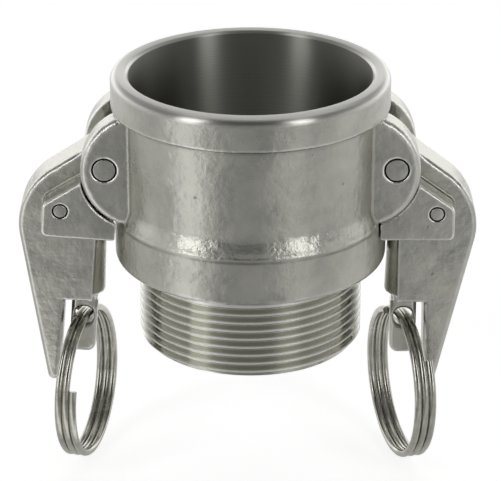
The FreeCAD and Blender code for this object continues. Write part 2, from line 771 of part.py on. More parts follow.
def armCarrier(side, opening):
    """Where an arm's frame stands: turned half round on the left and swung open about its pivot."""
    facing = FreeCAD.Rotation(zAxis, 0 if side > 0 else 180)
    swing = FreeCAD.Rotation(openingAxis, opening)
    return FreeCAD.Placement(Vector(side * pivotReach, 0, size.pivot_height), facing.multiply(swing))


def ringHang(side, carrier):
    """The middle of the wires in the tab's hole, with the ring's plane turned about the vertical."""
    hole = carrier.multVec(Vector(size.tab_middle, 0, ringHoleHeight))
    eye = hole - zAxis * size.ring_sag
    return FreeCAD.Placement(eye, FreeCAD.Rotation(zAxis, side * size.ring_yaw_angle))


def makeSide(word, side, opening, ringStart, ringEnd):
    carrier = armCarrier(side, opening)
    arm = makeArm(f"{word}_cam_arm")
    arm.Placement = carrier
    latch = makeLatch(f"{word}_latch")
    latch.Placement = carrier
    pivotPin = makePin(f"{word}_arm_pivot_pin", "sizes.pivot_pin_radius", "ear_half_width")
    pivotPin.Placement = pinPlacement(armCarrier(side, 0), 0, 0, size.ear_half_width)
    latchPin = makePin(f"{word}_latch_pin", "sizes.latch_pin_radius", "cheek_half_width")
    pinReach, pinDrop = size.latch_pin_reach, size.latch_pin_drop
    latchPin.Placement = pinPlacement(carrier, pinReach, -pinDrop, size.cheek_half_width)
    spring = makeSpring(f"{word}_latch_spring", carrier)
    ring = makeRing(f"{word}_pull_ring", ringStart, ringEnd, ringHang(side, carrier))
    return [arm, latch, pivotPin, latchPin, spring, ring]


def checkAndWrite(pieces):
    doc.recompute()
    for item in doc.Objects:
        if "Invalid" in item.State or "Error" in item.State:
            raise RuntimeError(f"{item.Name} did not recompute: {item.State}")
    for piece in pieces:
        shape = piece.Shape
        if shape.isNull() or not shape.isValid() or not shape.Solids:
            raise RuntimeError(f"{piece.Label} has no valid solid")
        if len(shape.Solids) != 1:
            raise RuntimeError(f"{piece.Label} has {len(shape.Solids)} solids")
        print(f"{piece.Label}: {shape.Volume / 1000:.2f} cm3")
        shape.exportStep(f"parts/{piece.Label}.step")


pieces = [makeCouplerBody(), makeGasket()]
pieces += makeSide("right", 1, 0, size.right_ring_start_angle, size.right_ring_end_angle)
pieces += makeSide("left", -1, size.left_arm_angle, size.left_ring_start_angle, size.left_ring_end_angle)
checkAndWrite(pieces)
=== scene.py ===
import math

import bmesh
import bpy
import numpy as np
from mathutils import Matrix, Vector


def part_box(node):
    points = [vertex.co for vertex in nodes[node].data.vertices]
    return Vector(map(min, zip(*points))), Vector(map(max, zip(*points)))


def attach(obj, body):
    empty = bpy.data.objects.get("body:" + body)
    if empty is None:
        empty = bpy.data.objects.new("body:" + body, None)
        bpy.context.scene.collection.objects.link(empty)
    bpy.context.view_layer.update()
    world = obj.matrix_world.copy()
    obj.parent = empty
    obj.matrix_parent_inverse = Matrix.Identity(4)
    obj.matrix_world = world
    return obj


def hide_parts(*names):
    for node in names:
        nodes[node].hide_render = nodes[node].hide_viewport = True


# A two inch cam and groove coupler in blasted stainless casting, with turned socket and thread,
# two self-locking cam arms, their latches and their wound pull rings.
# All lengths here are in millimetres and are turned into metres where a mesh or a node takes them.
# Scales of noise are given per metre.

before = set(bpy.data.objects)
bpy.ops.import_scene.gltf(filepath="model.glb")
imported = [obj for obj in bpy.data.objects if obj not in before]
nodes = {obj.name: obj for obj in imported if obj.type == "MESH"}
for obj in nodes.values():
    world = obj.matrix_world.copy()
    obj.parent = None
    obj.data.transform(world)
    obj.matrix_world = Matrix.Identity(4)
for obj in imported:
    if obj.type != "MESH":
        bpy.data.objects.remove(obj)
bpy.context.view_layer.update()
mm = 0.001
print("frame loaded:", len(nodes), "nodes")


# finishes

def newMaterial(name):
    material = bpy.data.materials.new(name)
    material.use_nodes = True
    material.node_tree.nodes.clear()
    return material, material.node_tree


def addNode(tree, kind, place=(0, 0), inputs=None, **settings):
    node = tree.nodes.new(kind)
    node.location = place
    for key, value in settings.items():
        setattr(node, key, value)
    for key, value in (inputs or {}).items():
        node.inputs[key].default_value = value
    return node


def newGroup(name, inputs, outputs):
    group = bpy.data.node_groups.new(name, "ShaderNodeTree")
    for socketName, kind, value in inputs:
        socket = group.interface.new_socket(socketName, in_out="INPUT", socket_type=kind)
        socket.default_value = value
    for socketName, kind in outputs:
        group.interface.new_socket(socketName, in_out="OUTPUT", socket_type=kind)
    start = addNode(group, "NodeGroupInput", (-1200, 0))
    end = addNode(group, "NodeGroupOutput", (800, 0))
    return group, start, end


def placeGroup(tree, group, place, values):
    node = addNode(tree, "ShaderNodeGroup", place, node_tree=group)
    for key, value in values.items():
        node.inputs[key].default_value = value
    return node


def castGrainGroup():
    # Fine blasted grain over a soft orange-peel swell, with scattered pits and cloudy tone.
    group, start, end = newGroup(
        "castGrain",
        (
            ("GrainScale", "NodeSocketFloat", 2600.0),
            ("GrainDepth", "NodeSocketFloat", 0.25),
            ("SwellScale", "NodeSocketFloat", 420.0),
            ("PitScale", "NodeSocketFloat", 330.0),
            ("PitDepth", "NodeSocketFloat", 0.6),
            ("CloudScale", "NodeSocketFloat", 90.0),
        ),
        (("Height", "NodeSocketFloat"), ("Cloud", "NodeSocketFloat"), ("Pits", "NodeSocketFloat")),
    )
    link = group.links.new
    where = addNode(group, "ShaderNodeTexCoord", (-1200, 300))
    grain = addNode(group, "ShaderNodeTexNoise", (-900, 400), {"Detail": 4.0, "Roughness": 0.6})
    swell = addNode(group, "ShaderNodeTexNoise", (-900, 150), {"Detail": 3.0, "Roughness": 0.5})
    cells = addNode(group, "ShaderNodeTexVoronoi", (-900, -150))
    rarity = addNode(group, "ShaderNodeTexNoise", (-900, -450), {"Scale": 140.0, "Detail": 2.0})
    cloud = addNode(group, "ShaderNodeTexNoise", (-900, -750), {"Detail": 5.0, "Roughness": 0.62})
    scaled = {"GrainScale": grain, "SwellScale": swell, "PitScale": cells, "CloudScale": cloud}
    for scale, texture in scaled.items():
        link(where.outputs["Object"], texture.inputs["Vector"])
        link(start.outputs[scale], texture.inputs["Scale"])
    link(where.outputs["Object"], rarity.inputs["Vector"])
    hollow = {"From Min": 0.06, "From Max": 0.2, "To Min": 1.0, "To Max": 0.0}
    pit = addNode(group, "ShaderNodeMapRange", (-600, -150), hollow)
    rare = addNode(group, "ShaderNodeMapRange", (-600, -450), {"From Min": 0.60, "From Max": 0.70})
    pits = addNode(group, "ShaderNodeMath", (-300, -250), operation="MULTIPLY")
    link(cells.outputs["Distance"], pit.inputs["Value"])
    link(rarity.outputs["Fac"], rare.inputs["Value"])
    link(pit.outputs["Result"], pits.inputs[0])
    link(rare.outputs["Result"], pits.inputs[1])
    faint = addNode(group, "ShaderNodeMath", (-650, 450), operation="MULTIPLY")
    link(grain.outputs["Fac"], faint.inputs[0])
    link(start.outputs["GrainDepth"], faint.inputs[1])
    mixed = addNode(group, "ShaderNodeMath", (-450, 300), {1: 1.6}, operation="MULTIPLY_ADD")
    link(swell.outputs["Fac"], mixed.inputs[0])
    link(faint.outputs["Value"], mixed.inputs[2])
    sunk = addNode(group, "ShaderNodeMath", (-200, 0), operation="MULTIPLY")
    link(pits.outputs["Value"], sunk.inputs[0])
    link(start.outputs["PitDepth"], sunk.inputs[1])
    height = addNode(group, "ShaderNodeMath", (100, 200), operation="SUBTRACT")
    link(mixed.outputs["Value"], height.inputs[0])
    link(sunk.outputs["Value"], height.inputs[1])
    link(height.outputs["Value"], end.inputs["Height"])
    patchy = addNode(group, "ShaderNodeMapRange", (-600, -750), {"From Min": 0.34, "From Max": 0.66})
    link(cloud.outputs["Fac"], patchy.inputs["Value"])
    link(patchy.outputs["Result"], end.inputs["Cloud"])
    link(pits.outputs["Value"], end.inputs["Pits"])
    return group


def wornEdgeGroup():
    # Masks made with the meshes: rubbed outer edges, also painted bright as a painted highlight, and inner
    # corners painted darker as painted shade.
    group, start, end = newGroup(
        "wornEdges",
        (("Spread", "NodeSocketFloat", 0.35), ("Break", "NodeSocketFloat", 260.0)),
        (("Edge", "NodeSocketFloat"), ("CornerShade", "NodeSocketFloat")),
    )
    link = group.links.new
    where = addNode(group, "ShaderNodeTexCoord", (-1200, 300))
    edge = addNode(group, "ShaderNodeAttribute", (-900, 200), attribute_name="edgeWearAndHighlightMask")
    corner = addNode(group, "ShaderNodeAttribute", (-900, -100), attribute_name="cornerShadeMask")
    rub = addNode(group, "ShaderNodeTexNoise", (-900, 500), {"Detail": 4.0, "Roughness": 0.65})
    link(where.outputs["Object"], rub.inputs["Vector"])
    link(start.outputs["Break"], rub.inputs["Scale"])
    shifted = addNode(group, "ShaderNodeMath", (-600, 400), {1: 0.5}, operation="SUBTRACT")
    link(rub.outputs["Fac"], shifted.inputs[0])
    uneven = addNode(group, "ShaderNodeMath", (-350, 300), operation="MULTIPLY_ADD")
    link(shifted.outputs["Value"], uneven.inputs[0])
    link(start.outputs["Spread"], uneven.inputs[1])
    link(edge.outputs["Fac"], uneven.inputs[2])
    shaped = addNode(group, "ShaderNodeMapRange", (-100, 300), {"From Min": 0.18, "From Max": 0.8})
    link(uneven.outputs["Value"], shaped.inputs["Value"])
    link(shaped.outputs["Result"], end.inputs["Edge"])
    link(corner.outputs["Fac"], end.inputs["CornerShade"])
    return group


def turnedLinesGroup():
    # Fine tool lines that run round the main axis, from height and distance to the axis.
    group, start, end = newGroup(
        "turnedLines",
        (("LineScale", "NodeSocketFloat", 5200.0), ("Waver", "NodeSocketFloat", 0.4)),
        (("Height", "NodeSocketFloat"), ("Streak", "NodeSocketFloat"), ("Reach", "NodeSocketFloat")),
    )
    link = group.links.new
    where = addNode(group, "ShaderNodeTexCoord", (-1200, 300))
    parts = addNode(group, "ShaderNodeSeparateXYZ", (-1000, 300))
    link(where.outputs["Object"], parts.inputs["Vector"])
    flat = addNode(group, "ShaderNodeCombineXYZ", (-800, 450))
    link(parts.outputs["X"], flat.inputs["X"])
    link(parts.outputs["Y"], flat.inputs["Y"])
    reach = addNode(group, "ShaderNodeVectorMath", (-600, 450), operation="LENGTH")
    link(flat.outputs["Vector"], reach.inputs[0])
    along = addNode(group, "ShaderNodeMath", (-400, 350), operation="ADD")
    link(reach.outputs["Value"], along.inputs[0])
    link(parts.outputs["Z"], along.inputs[1])
    fine = {"Detail": 3.0, "Roughness": 0.7}
    lines = addNode(group, "ShaderNodeTexNoise", (-150, 350), fine, noise_dimensions="1D")
    link(along.outputs["Value"], lines.inputs["W"])
    link(start.outputs["LineScale"], lines.inputs["Scale"])
    patches = addNode(group, "ShaderNodeTexNoise", (-400, 0), {"Scale": 120.0, "Detail": 3.0})
    link(where.outputs["Object"], patches.inputs["Vector"])
    mixed = addNode(group, "ShaderNodeMath", (100, 150), operation="MULTIPLY_ADD")
    link(patches.outputs["Fac"], mixed.inputs[0])
    link(start.outputs["Waver"], mixed.inputs[1])
    link(lines.outputs["Fac"], mixed.inputs[2])
    link(mixed.outputs["Value"], end.inputs["Height"])
    link(lines.outputs["Fac"], end.inputs["Streak"])
    link(reach.outputs["Value"], end.inputs["Reach"])
    return group


castGrain = castGrainGroup()
wornEdges = wornEdgeGroup()
turnedLines = turnedLinesGroup()


def mixColours(tree, place, mask, dark, bright):
    mix = addNode(tree, "ShaderNodeMix", place, data_type="RGBA")
    mix.inputs["A"].default_value = (*dark, 1)
    mix.inputs["B"].default_value = (*bright, 1)
    tree.links.new(mask, mix.inputs["Factor"])
    return mix


def addSpread(tree, place, mask, values, masked=(0.0, 1.0)):
    # Spreads a mask over a low and a high value.
    limits = {"From Min": masked[0], "From Max": masked[1], "To Min": values[0], "To Max": values[1]}
    spread = addNode(tree, "ShaderNodeMapRange", place, limits)
    tree.links.new(mask, spread.inputs["Value"])
    return spread.outputs["Result"]


def addBump(tree, place, height, finish):
    depth = {"Strength": finish["bump"], "Distance": finish["bumpDepth"] * mm}
    bump = addNode(tree, "ShaderNodeBump", place, depth)
    tree.links.new(height, bump.inputs["Height"])
    return bump.outputs["Normal"]


def addShader(tree, values, linked):
    shader = addNode(tree, "ShaderNodeBsdfPrincipled", (350, 100), values)
    for socket, output in linked.items():
        tree.links.new(output, shader.inputs[socket])
    out = addNode(tree, "ShaderNodeOutputMaterial", (650, 100))
    tree.links.new(shader.outputs["BSDF"], out.inputs["Surface"])


castFinish = {
    "colour": (0.437, 0.434, 0.395),
    "cloudColour": (0.575, 0.572, 0.515),
    # Edges: rubbed wear and a painted highlight, near-white.
    "edgeWearAndHighlightColour": (0.93, 0.925, 0.90),
    # Inner corners: painted shade.
    "cornerShadeColour": (0.30, 0.295, 0.265),
    "pitColour": (0.27, 0.265, 0.24),
    "roughness": (0.24, 0.35),
    "edgeRoughness": 0.28,
    "grainScale": 2600.0,
    "bump": 1.0,
    "bumpDepth": 0.14,
}


def castMaterial(name, finish):
    material, tree = newMaterial(name)
    link = tree.links.new
    grain = placeGroup(tree, castGrain, (-900, 0), {"GrainScale": finish["grainScale"]})
    wearAndLight = placeGroup(tree, wornEdges, (-900, -300), {})
    base = mixColours(tree, (-600, 300), grain.outputs["Cloud"], finish["colour"], finish["cloudColour"])
    # Painted highlight with rubbed wear on the edges, then painted shade in the inner corners.
    wornAndHighlit = mixColours(tree, (-350, 300), wearAndLight.outputs["Edge"], finish["colour"], finish["edgeWearAndHighlightColour"])
    link(base.outputs["Result"], wornAndHighlit.inputs["A"])
    shaded = mixColours(tree, (-100, 300), wearAndLight.outputs["CornerShade"], finish["colour"], finish["cornerShadeColour"])
    link(wornAndHighlit.outputs["Result"], shaded.inputs["A"])
    pitted = mixColours(tree, (100, 300), grain.outputs["Pits"], finish["colour"], finish["pitColour"])
    link(shaded.outputs["Result"], pitted.inputs["A"])
    rubbed = addNode(tree, "ShaderNodeMix", (-350, 0), {"B": finish["edgeRoughness"]})
    link(wearAndLight.outputs["Edge"], rubbed.inputs["Factor"])
    link(addSpread(tree, (-600, 0), grain.outputs["Cloud"], finish["roughness"]), rubbed.inputs["A"])
    addShader(tree, {"Metallic": 1.0}, {
        "Base Color": pitted.outputs["Result"],
        "Roughness": rubbed.outputs["Result"],
        "Normal": addBump(tree, (-350, -300), grain.outputs["Height"], finish),
    })
    return material


turnedFinish = {
    "colour": (0.44, 0.436, 0.40),
    "streakColour": (0.66, 0.655, 0.62),
    "roughness": (0.24, 0.34),
    "drawnOut": 0.85,
    "lineScale": 5200.0,
    "bump": 0.10,
    "bumpDepth": 0.02,
}
# Bore, groove and waterway: the same turned steel, painted darker as shade inside the socket.
shadedBoreFinish = dict(
    turnedFinish,
    colour=(0.225, 0.224, 0.198),
    streakColour=(0.42, 0.418, 0.385),
    roughness=(0.36, 0.40),
    drawnOut=0.95,
    lineScale=3800.0,
    bump=0.03,
)


def turnedShader(tree, lines, finish, linked):
    # The tool lines run round the axis, so the shine is drawn out across them.
    around = addNode(tree, "ShaderNodeTangent", (-300, -500), direction_type="RADIAL", axis="Z")
    bump = addBump(tree, (-500, -300), lines.outputs["Height"], finish)
    shine = {"Metallic": 1.0, "Anisotropic": finish["drawnOut"], "Anisotropic Rotation": 0.25}
    addShader(tree, shine, dict(linked, Tangent=around.outputs["Tangent"], Normal=bump))


def turnedMaterial(name, finish):
    material, tree = newMaterial(name)
    lines = placeGroup(tree, turnedLines, (-900, 0), {"LineScale": finish["lineScale"]})
    base = mixColours(tree, (-500, 300), lines.outputs["Streak"], finish["colour"], finish["streakColour"])
    rough = addSpread(tree, (-500, 0), lines.outputs["Height"], finish["roughness"], (0.3, 0.7))
    turnedShader(tree, lines, finish, {"Base Color": base.outputs["Result"], "Roughness": rough})
    return material


threadFinish = {
    "flankColour": (0.54, 0.54, 0.475),
    # Near-white crest colour: a painted highlight along the crests.
    "crestHighlightColour": (0.95, 0.95, 0.92),
    "crestReach": (29.3, 29.72),
    "roughness": (0.12, 0.4),
    "metal": (1.0, 0.45),
    "drawnOut": 0.85,
    "lineScale": 5200.0,
    "bump": 0.10,
    "bumpDepth": 0.02,
}


def threadMaterial(name, finish):
    # Smooth flanks; the crests are painted near-white as a highlight and a little rough.
    material, tree = newMaterial(name)
    lines = placeGroup(tree, turnedLines, (-900, 0), {"LineScale": finish["lineScale"]})
    reach = [radius * mm for radius in finish["crestReach"]]
    crestHighlight = addSpread(tree, (-700, 600), lines.outputs["Reach"], (0.0, 1.0), reach)
    base = mixColours(tree, (-400, 600), crestHighlight, finish["flankColour"], finish["crestHighlightColour"])
    turnedShader(tree, lines, finish, {
        "Base Color": base.outputs["Result"],
        "Roughness": addSpread(tree, (-400, 900), crestHighlight, finish["roughness"]),
        "Metallic": addSpread(tree, (-400, 1200), crestHighlight, finish["metal"]),
    })
    return material


wireFinish = {
    "colour": (0.41, 0.405, 0.36),
    "cloudColour": (0.57, 0.565, 0.51),
    "roughness": (0.18, 0.28),
    "metal": 1.0,
    "grain": {"GrainScale": 3200.0, "CloudScale": 300.0, "PitDepth": 0.2},
    "bump": 0.04,
    "bumpDepth": 0.02,
}
rubberFinish = {
    "colour": (0.018, 0.018, 0.02),
    "cloudColour": (0.05, 0.05, 0.052),
    "roughness": (0.45, 0.7),
    "metal": 0.0,
    "grain": {"GrainScale": 1800.0, "PitDepth": 0.1},
    "bump": 0.2,
    "bumpDepth": 0.03,
}
# Near-black on the pins' sides: painted shade in the thin gap round each pin.
pinGapShadeFinish = dict(
    rubberFinish, colour=(0.02, 0.019, 0.017), cloudColour=(0.06, 0.057, 0.05), roughness=(0.5, 0.8)
)


def cloudyMaterial(name, finish):
    material, tree = newMaterial(name)
    grain = placeGroup(tree, castGrain, (-900, 0), finish["grain"])
    base = mixColours(tree, (-500, 300), grain.outputs["Cloud"], finish["colour"], finish["cloudColour"])
    addShader(tree, {"Metallic": finish["metal"]}, {
        "Base Color": base.outputs["Result"],
        "Roughness": addSpread(tree, (-500, 0), grain.outputs["Cloud"], finish["roughness"]),
        "Normal": addBump(tree, (-500, -300), grain.outputs["Height"], finish),
    })
    return material


blastedCasting = castMaterial("blastedCasting", castFinish)
turnedSteel = turnedMaterial("turnedSteel", turnedFinish)
shadedBoreSteel = turnedMaterial("shadedBoreSteel", shadedBoreFinish)
threadSteel = threadMaterial("threadSteel", threadFinish)
drawnWire = cloudyMaterial("drawnWire", wireFinish)
sealRubber = cloudyMaterial("sealRubber", rubberFinish)
pinGapShade = cloudyMaterial("pinGapShade", pinGapShadeFinish)
print("finishes made")


# building meshes

def finishPiece(piece, body, material, replaced=()):
    piece.data.materials.clear()
    piece.data.materials.append(material)
    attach(piece, body)
    if replaced:
        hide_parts(*replaced)
    return piece


def newPiece(name, mesh):
    piece = bpy.data.objects.new(name, mesh)
    bpy.context.scene.collection.objects.link(piece)
    return piece


def meshFrom(name, points, faces, smooth=True):
    mesh = bpy.data.meshes.new(name)
    mesh.from_pydata([tuple(p) for p in points], [], [tuple(f) for f in faces])
    mesh.update()
    if smooth:
        mesh.polygons.foreach_set("use_smooth", [True] * len(mesh.polygons))
    return mesh


def readPoints(mesh):
    flat = np.empty(len(mesh.vertices) * 3)
    mesh.vertices.foreach_get("co", flat)
    return flat.reshape(-1, 3)


def readEdges(mesh):
    flat = np.empty(len(mesh.edges) * 2, dtype=np.int64)
    mesh.edges.foreach_get("vertices", flat)
    return flat.reshape(-1, 2)


def neighbourMeans(values, edges):
    count = len(values)
    first, second = edges.T
    weight = np.bincount(first, minlength=count) + np.bincount(second, minlength=count)
    columns = []
    for column in values.T:
        total = np.bincount(first, column[second], count) + np.bincount(second, column[first], count)
        columns.append(total / np.maximum(weight, 1))
    return np.stack(columns, axis=1)


def storeMask(mesh, name, values):
    attribute = mesh.attributes.new(name, "FLOAT", "POINT")
    attribute.data.foreach_set("value", np.clip(values, 0, 1))


def softenMesh(mesh, rounds, softness):
    # Rounds every edge and fills every inner corner a little, as wax pattern castings are.
    points = readPoints(mesh)
    edges = readEdges(mesh)
    amount = 0.5 * softness(points / mm)[:, None]
    for turn in range(rounds):
        points += amount * (neighbourMeans(points, edges) - points)
    mesh.vertices.foreach_set("co", points.ravel())
    mesh.update()
    normals = np.empty(len(points) * 3)
    mesh.vertices.foreach_get("normal", normals)
    bend = ((neighbourMeans(points, edges) - points) * normals.reshape(-1, 3)).sum(1)[:, None]
    for turn in range(2):
        bend = neighbourMeans(bend, edges)
    return bend[:, 0]


def castCopy(name, nodeName, sizes, softness, added=None):
    # A welded and evenly meshed copy of a solid, with softened edges, a mask of its rubbed edges with a
    # painted highlight and a mask of painted shade in its inner corners.
    raw = newPiece(name + "_raw", nodes[nodeName].data.copy())
    if added:
        work = bmesh.new()
        work.from_mesh(raw.data)
        work.from_mesh(added)
        work.to_mesh(raw.data)
        work.free()
    weld = raw.modifiers.new("weld", "WELD")
    weld.merge_threshold = 0.002 * mm
    remesh = raw.modifiers.new("remesh", "REMESH")
    remesh.mode = "VOXEL"
    remesh.voxel_size = sizes["voxel"] * mm
    cast = bpy.data.meshes.new_from_object(raw.evaluated_get(bpy.context.evaluated_depsgraph_get()))
    bpy.data.objects.remove(raw)
    cast.name = name
    bend = softenMesh(cast, sizes["softRounds"], softness) / (sizes["edgeBend"] * mm)
    # Convex edges get the mask of rubbed wear and painted highlight; concave corners get the mask of painted
    # shade.
    storeMask(cast, "edgeWearAndHighlightMask", -bend)
    storeMask(cast, "cornerShadeMask", bend)
    cast.polygons.foreach_set("use_smooth", [True] * len(cast.polygons))
    return newPiece(name, cast)


def faceMiddles(mesh):
    flat = np.empty(len(mesh.polygons) * 3)
    mesh.polygons.foreach_get("center", flat)
    return flat.reshape(-1, 3) / mm


def keepFaces(mesh, test):
    # Drops the faces whose middles fail the test.
    drop = np.flatnonzero(~test(faceMiddles(mesh)))
    work = bmesh.new()
    work.from_mesh(mesh)
    work.faces.ensure_lookup_table()
    bmesh.ops.delete(work, geom=[work.faces[i] for i in drop], context="FACES")
    work.to_mesh(mesh)
    work.free()


# coupler body: cast outside

bodySizes = {
    "rimHeight": 51.2,
    "boreRadius": 31.95,
    "collarRadius": 36.65,
    "rimRound": 1.9,
    "rimOverlap": 0.15,
    "mouthChamfer": 0.8,
    "lipRound": 0.25,
    "lipDrop": 0.1,
    "shoulderRadius": 34.4,
    "grooveRadius": 33.4,
    "grooveBottom": 4.8,
    "grooveTop": 11.3,
    "stepChamfer": 0.3,
    "waterwayRadius": 25.4,
    "footDepth": 23.3,
    "footChamfer": 0.7,
    "slotHalfWidth": 6.2,
    "slotBottom": 19.5,
    "slotTop": 37.2,
    "wallRadius": 34.5,
    "bowlRadius": 36.1,
    "wallTop": 22.0,
    "flareTop": 18.8,
    "flareFoot": (12.4, 12.9),
    "ridgeHeight": 13.0,
    "ridgeRise": 0.2,
    "ridgeWidth": 0.5,
    "ridgeShadowDrop": 0.75,
    "ridgeShadowWidth": 0.38,
}
castSizes = {"voxel": 0.26, "softRounds": 14, "edgeBend": 0.02}
softening = {
    "ears": 0.35,  # share of the full softening on the ears, the bowl's lower edge and the bore
    "bowlEdge": 0.4,
    "bore": 0.15,
    "earOut": 30.5,  # the room of the ears: outward, from the axis, and between two heights
    "earRadius": 34.9,
    "earBottom": 12.0,
    "earTop": 44.5,
    "rimDepth": 1.2,  # where the softening starts, and over what length it grows
    "rimFade": 1.5,
    "boreFade": 0.8,
    "footHeight": 0.2,
    "footFade": 0.8,
    "bowlEdgeHeight": 5.0,
    "bowlEdgeFade": 3.0,
}
skinMargins = {"bore": 0.4, "groove": 0.6, "foot": 0.15, "shoulder": 0.2, "rim": 0.05, "flare": 0.9}
pivotPlace = (37.9, 28.85)  # an arm's pivot, outward and up
earDisc = {
    "setback": 9.2,  # the discs' middle, inward of the pivot and below it
    "drop": 0.75,
    "reach": 15.4,
    "play": 0.1,
    "growth": 0.14,
    "growthFade": (-1.6, -0.5),
    "out": 34.0,
    "inside": 6.0,
    "beside": (14.6, 16.6),
}


def fromAxis(points):
    return np.hypot(points[:, 0], points[:, 1])


def bodySoftness(points):
    s = softening
    radius = fromAxis(points)
    height = points[:, 2]
    onEar = (np.abs(points[:, 0]) > s["earOut"]) & (radius > s["earRadius"])
    onEar &= (height > s["earBottom"]) & (height < s["earTop"])
    rimHold = np.clip((bodySizes["rimHeight"] - s["rimDepth"] - height) / s["rimFade"], 0, 1)
    boreHold = np.clip((radius - bodySizes["grooveRadius"]) / s["boreFade"], s["bore"], 1)
    footHold = np.clip((height - s["footHeight"]) / s["footFade"], 0, 1)
    aboveEdge = np.clip((height - s["bowlEdgeHeight"]) / s["bowlEdgeFade"], 0, 1)
    edgeHold = s["bowlEdge"] + (1 - s["bowlEdge"]) * aboveEdge
    return rimHold * boreHold * footHold * edgeHold * np.where(onEar, s["ears"], 1.0)


def isCastSkin(points):
    # The turned pieces take over in the bore, in the gasket's groove, under the bowl and on the rim.
    radius = fromAxis(points)
    height = points[:, 2]
    s, m = bodySizes, skinMargins
    turnedBore = radius < s["boreRadius"] + m["bore"]
    turnedGroove = (height < s["grooveTop"] + m["groove"]) & (radius < s["grooveRadius"] + m["bore"])
    turnedFoot = (height < m["foot"]) & (radius < s["shoulderRadius"] - m["shoulder"])
    turnedRim = height > s["rimHeight"] - s["rimRound"] - m["rim"]
    return ~(turnedBore | turnedGroove | turnedFoot | turnedRim)


def smoothStep(values, start, end):
    share = np.clip((values - start) / (end - start), 0, 1)
    return share * share * (3 - 2 * share)


def besideEars(points):
    outside = fromAxis(points) > bodySizes["grooveRadius"] + skinMargins["flare"]
    return smoothStep(np.abs(points[:, 1]), *earDisc["beside"]) * outside


def shapeFlare(points):
    # The wall runs down straight to a flare that ends in a faint ridge.
    s = bodySizes
    radius = fromAxis(points)
    height = points[:, 2]
    spread = smoothStep(height, s["flareTop"], s["ridgeHeight"])
    flare = s["wallRadius"] + (s["bowlRadius"] - s["wallRadius"]) * spread
    rise = s["ridgeRise"] * np.exp(-(((height - s["ridgeHeight"]) / s["ridgeWidth"]) ** 2))
    onFlare = smoothStep(height, *s["flareFoot"]) * (height < s["wallTop"])
    shaped = radius + besideEars(points) * (onFlare * (flare - radius) + rise)
    return points * np.stack([shaped / radius, shaped / radius, np.ones(len(points))], axis=1)


def pushFrom(points, middle, amount):
    # Moves points away from a line across the part, by the amount that their distance to it gives.
    out, up = points[:, 0] - middle[0], points[:, 2] - middle[1]
    away = np.hypot(out, up)
    step = (amount(away) / np.maximum(away, 1.0))[:, None]
    return points + step * np.stack([out, np.zeros(len(points)), up], axis=1)


def growEars(points):
    # Takes back what the softening took off the ears' rims.
    e = earDisc
    side = np.sign(points[:, 0])
    middle = (side * (pivotPlace[0] - e["setback"]), pivotPlace[1] - e["drop"])
    onEar = (np.abs(points[:, 1]) > e["inside"]) & (np.abs(points[:, 0]) > e["out"])

    def growth(away):
        past = away - e["reach"]
        return e["growth"] * onEar * smoothStep(past, *e["growthFade"]) * (past < e["play"])

    return pushFrom(points, middle, growth)


def ridgeShadowMask(points):
    # A thin, uneven line of painted shadow under the ridge.
    s = bodySizes
    under = points[:, 2] - (s["ridgeHeight"] - s["ridgeShadowDrop"])
    angle = np.arctan2(points[:, 1], points[:, 0])
    uneven = 0.9 + 0.35 * np.sin(7 * angle + 0.8) + 0.2 * np.sin(31 * angle)
    return besideEars(points) * uneven * np.exp(-((under / s["ridgeShadowWidth"]) ** 2))


def addToMask(mesh, name, values):
    attribute = mesh.attributes[name]
    before = np.empty(len(values))
    attribute.data.foreach_get("value", before)
    attribute.data.foreach_set("value", np.clip(before + values, 0, 1))


bodyCasting = castCopy("body_casting", "coupler_body", castSizes, bodySoftness)
bodyPoints = growEars(shapeFlare(readPoints(bodyCasting.data) / mm))
bodyCasting.data.vertices.foreach_set("co", (bodyPoints * mm).ravel())
# The painted shadow under the ridge goes into the corners' mask of painted shade.
addToMask(bodyCasting.data, "cornerShadeMask", ridgeShadowMask(bodyPoints))
keepFaces(bodyCasting.data, isCastSkin)
finishPiece(bodyCasting, "coupler", blastedCasting, ["coupler_body"])
print("body casting:", len(bodyCasting.data.vertices), "points")


# coupler body: turned rim, socket, groove and waterway

def arcPoints(centre, radius, first, last, steps):
    angles = np.radians(np.linspace(first, last, steps + 1))
    return [(centre[0] + radius * math.cos(a), centre[1] + radius * math.sin(a)) for a in angles]


def lipArc(first, last, steps):
    # The rounded inner edge under the mouth's chamfer.
    s = bodySizes
    middle = (s["boreRadius"] + s["lipRound"], s["rimHeight"] - s["mouthChamfer"] - s["lipDrop"])
    return arcPoints(middle, s["lipRound"], first, last, steps)


def socketProfile():
    s = bodySizes
    bore, groove, waterway = s["boreRadius"], s["grooveRadius"], s["waterwayRadius"]
    foot = -s["footDepth"]
    return lipArc(135, 180, 3) + [
        (bore, s["slotTop"]),
        (bore, s["slotBottom"]),
        (bore, s["grooveTop"]),
        (groove, s["grooveTop"]),
        (groove, s["grooveBottom"]),
        (waterway + s["stepChamfer"], s["grooveBottom"]),
        (waterway, s["grooveBottom"] - s["stepChamfer"]),
        (waterway, foot + s["footChamfer"]),
        (waterway + s["footChamfer"], foot),
    ]


def rimProfile():
    s = bodySizes
    rim, outer, edge, lip = s["rimHeight"], s["collarRadius"], s["rimRound"], s["lipRound"]
    return (
        [(outer, rim - edge - s["rimOverlap"])]
        + arcPoints((outer - edge, rim - edge), edge, 0, 90, 12)
        + arcPoints((s["boreRadius"] + s["mouthChamfer"], rim - lip), lip, 90, 135, 3)
        + lipArc(135, 180, 3)[:1]
    )


def columnAngles(count, edges):
    base = np.linspace(0, 2 * math.pi, count, endpoint=False)
    extra = np.array(edges) % (2 * math.pi)
    near = np.abs(base[:, None] - extra[None, :]).min(axis=1) < math.pi / count * 0.7  # these give way
    return np.sort(np.concatenate([base[~near], extra]))


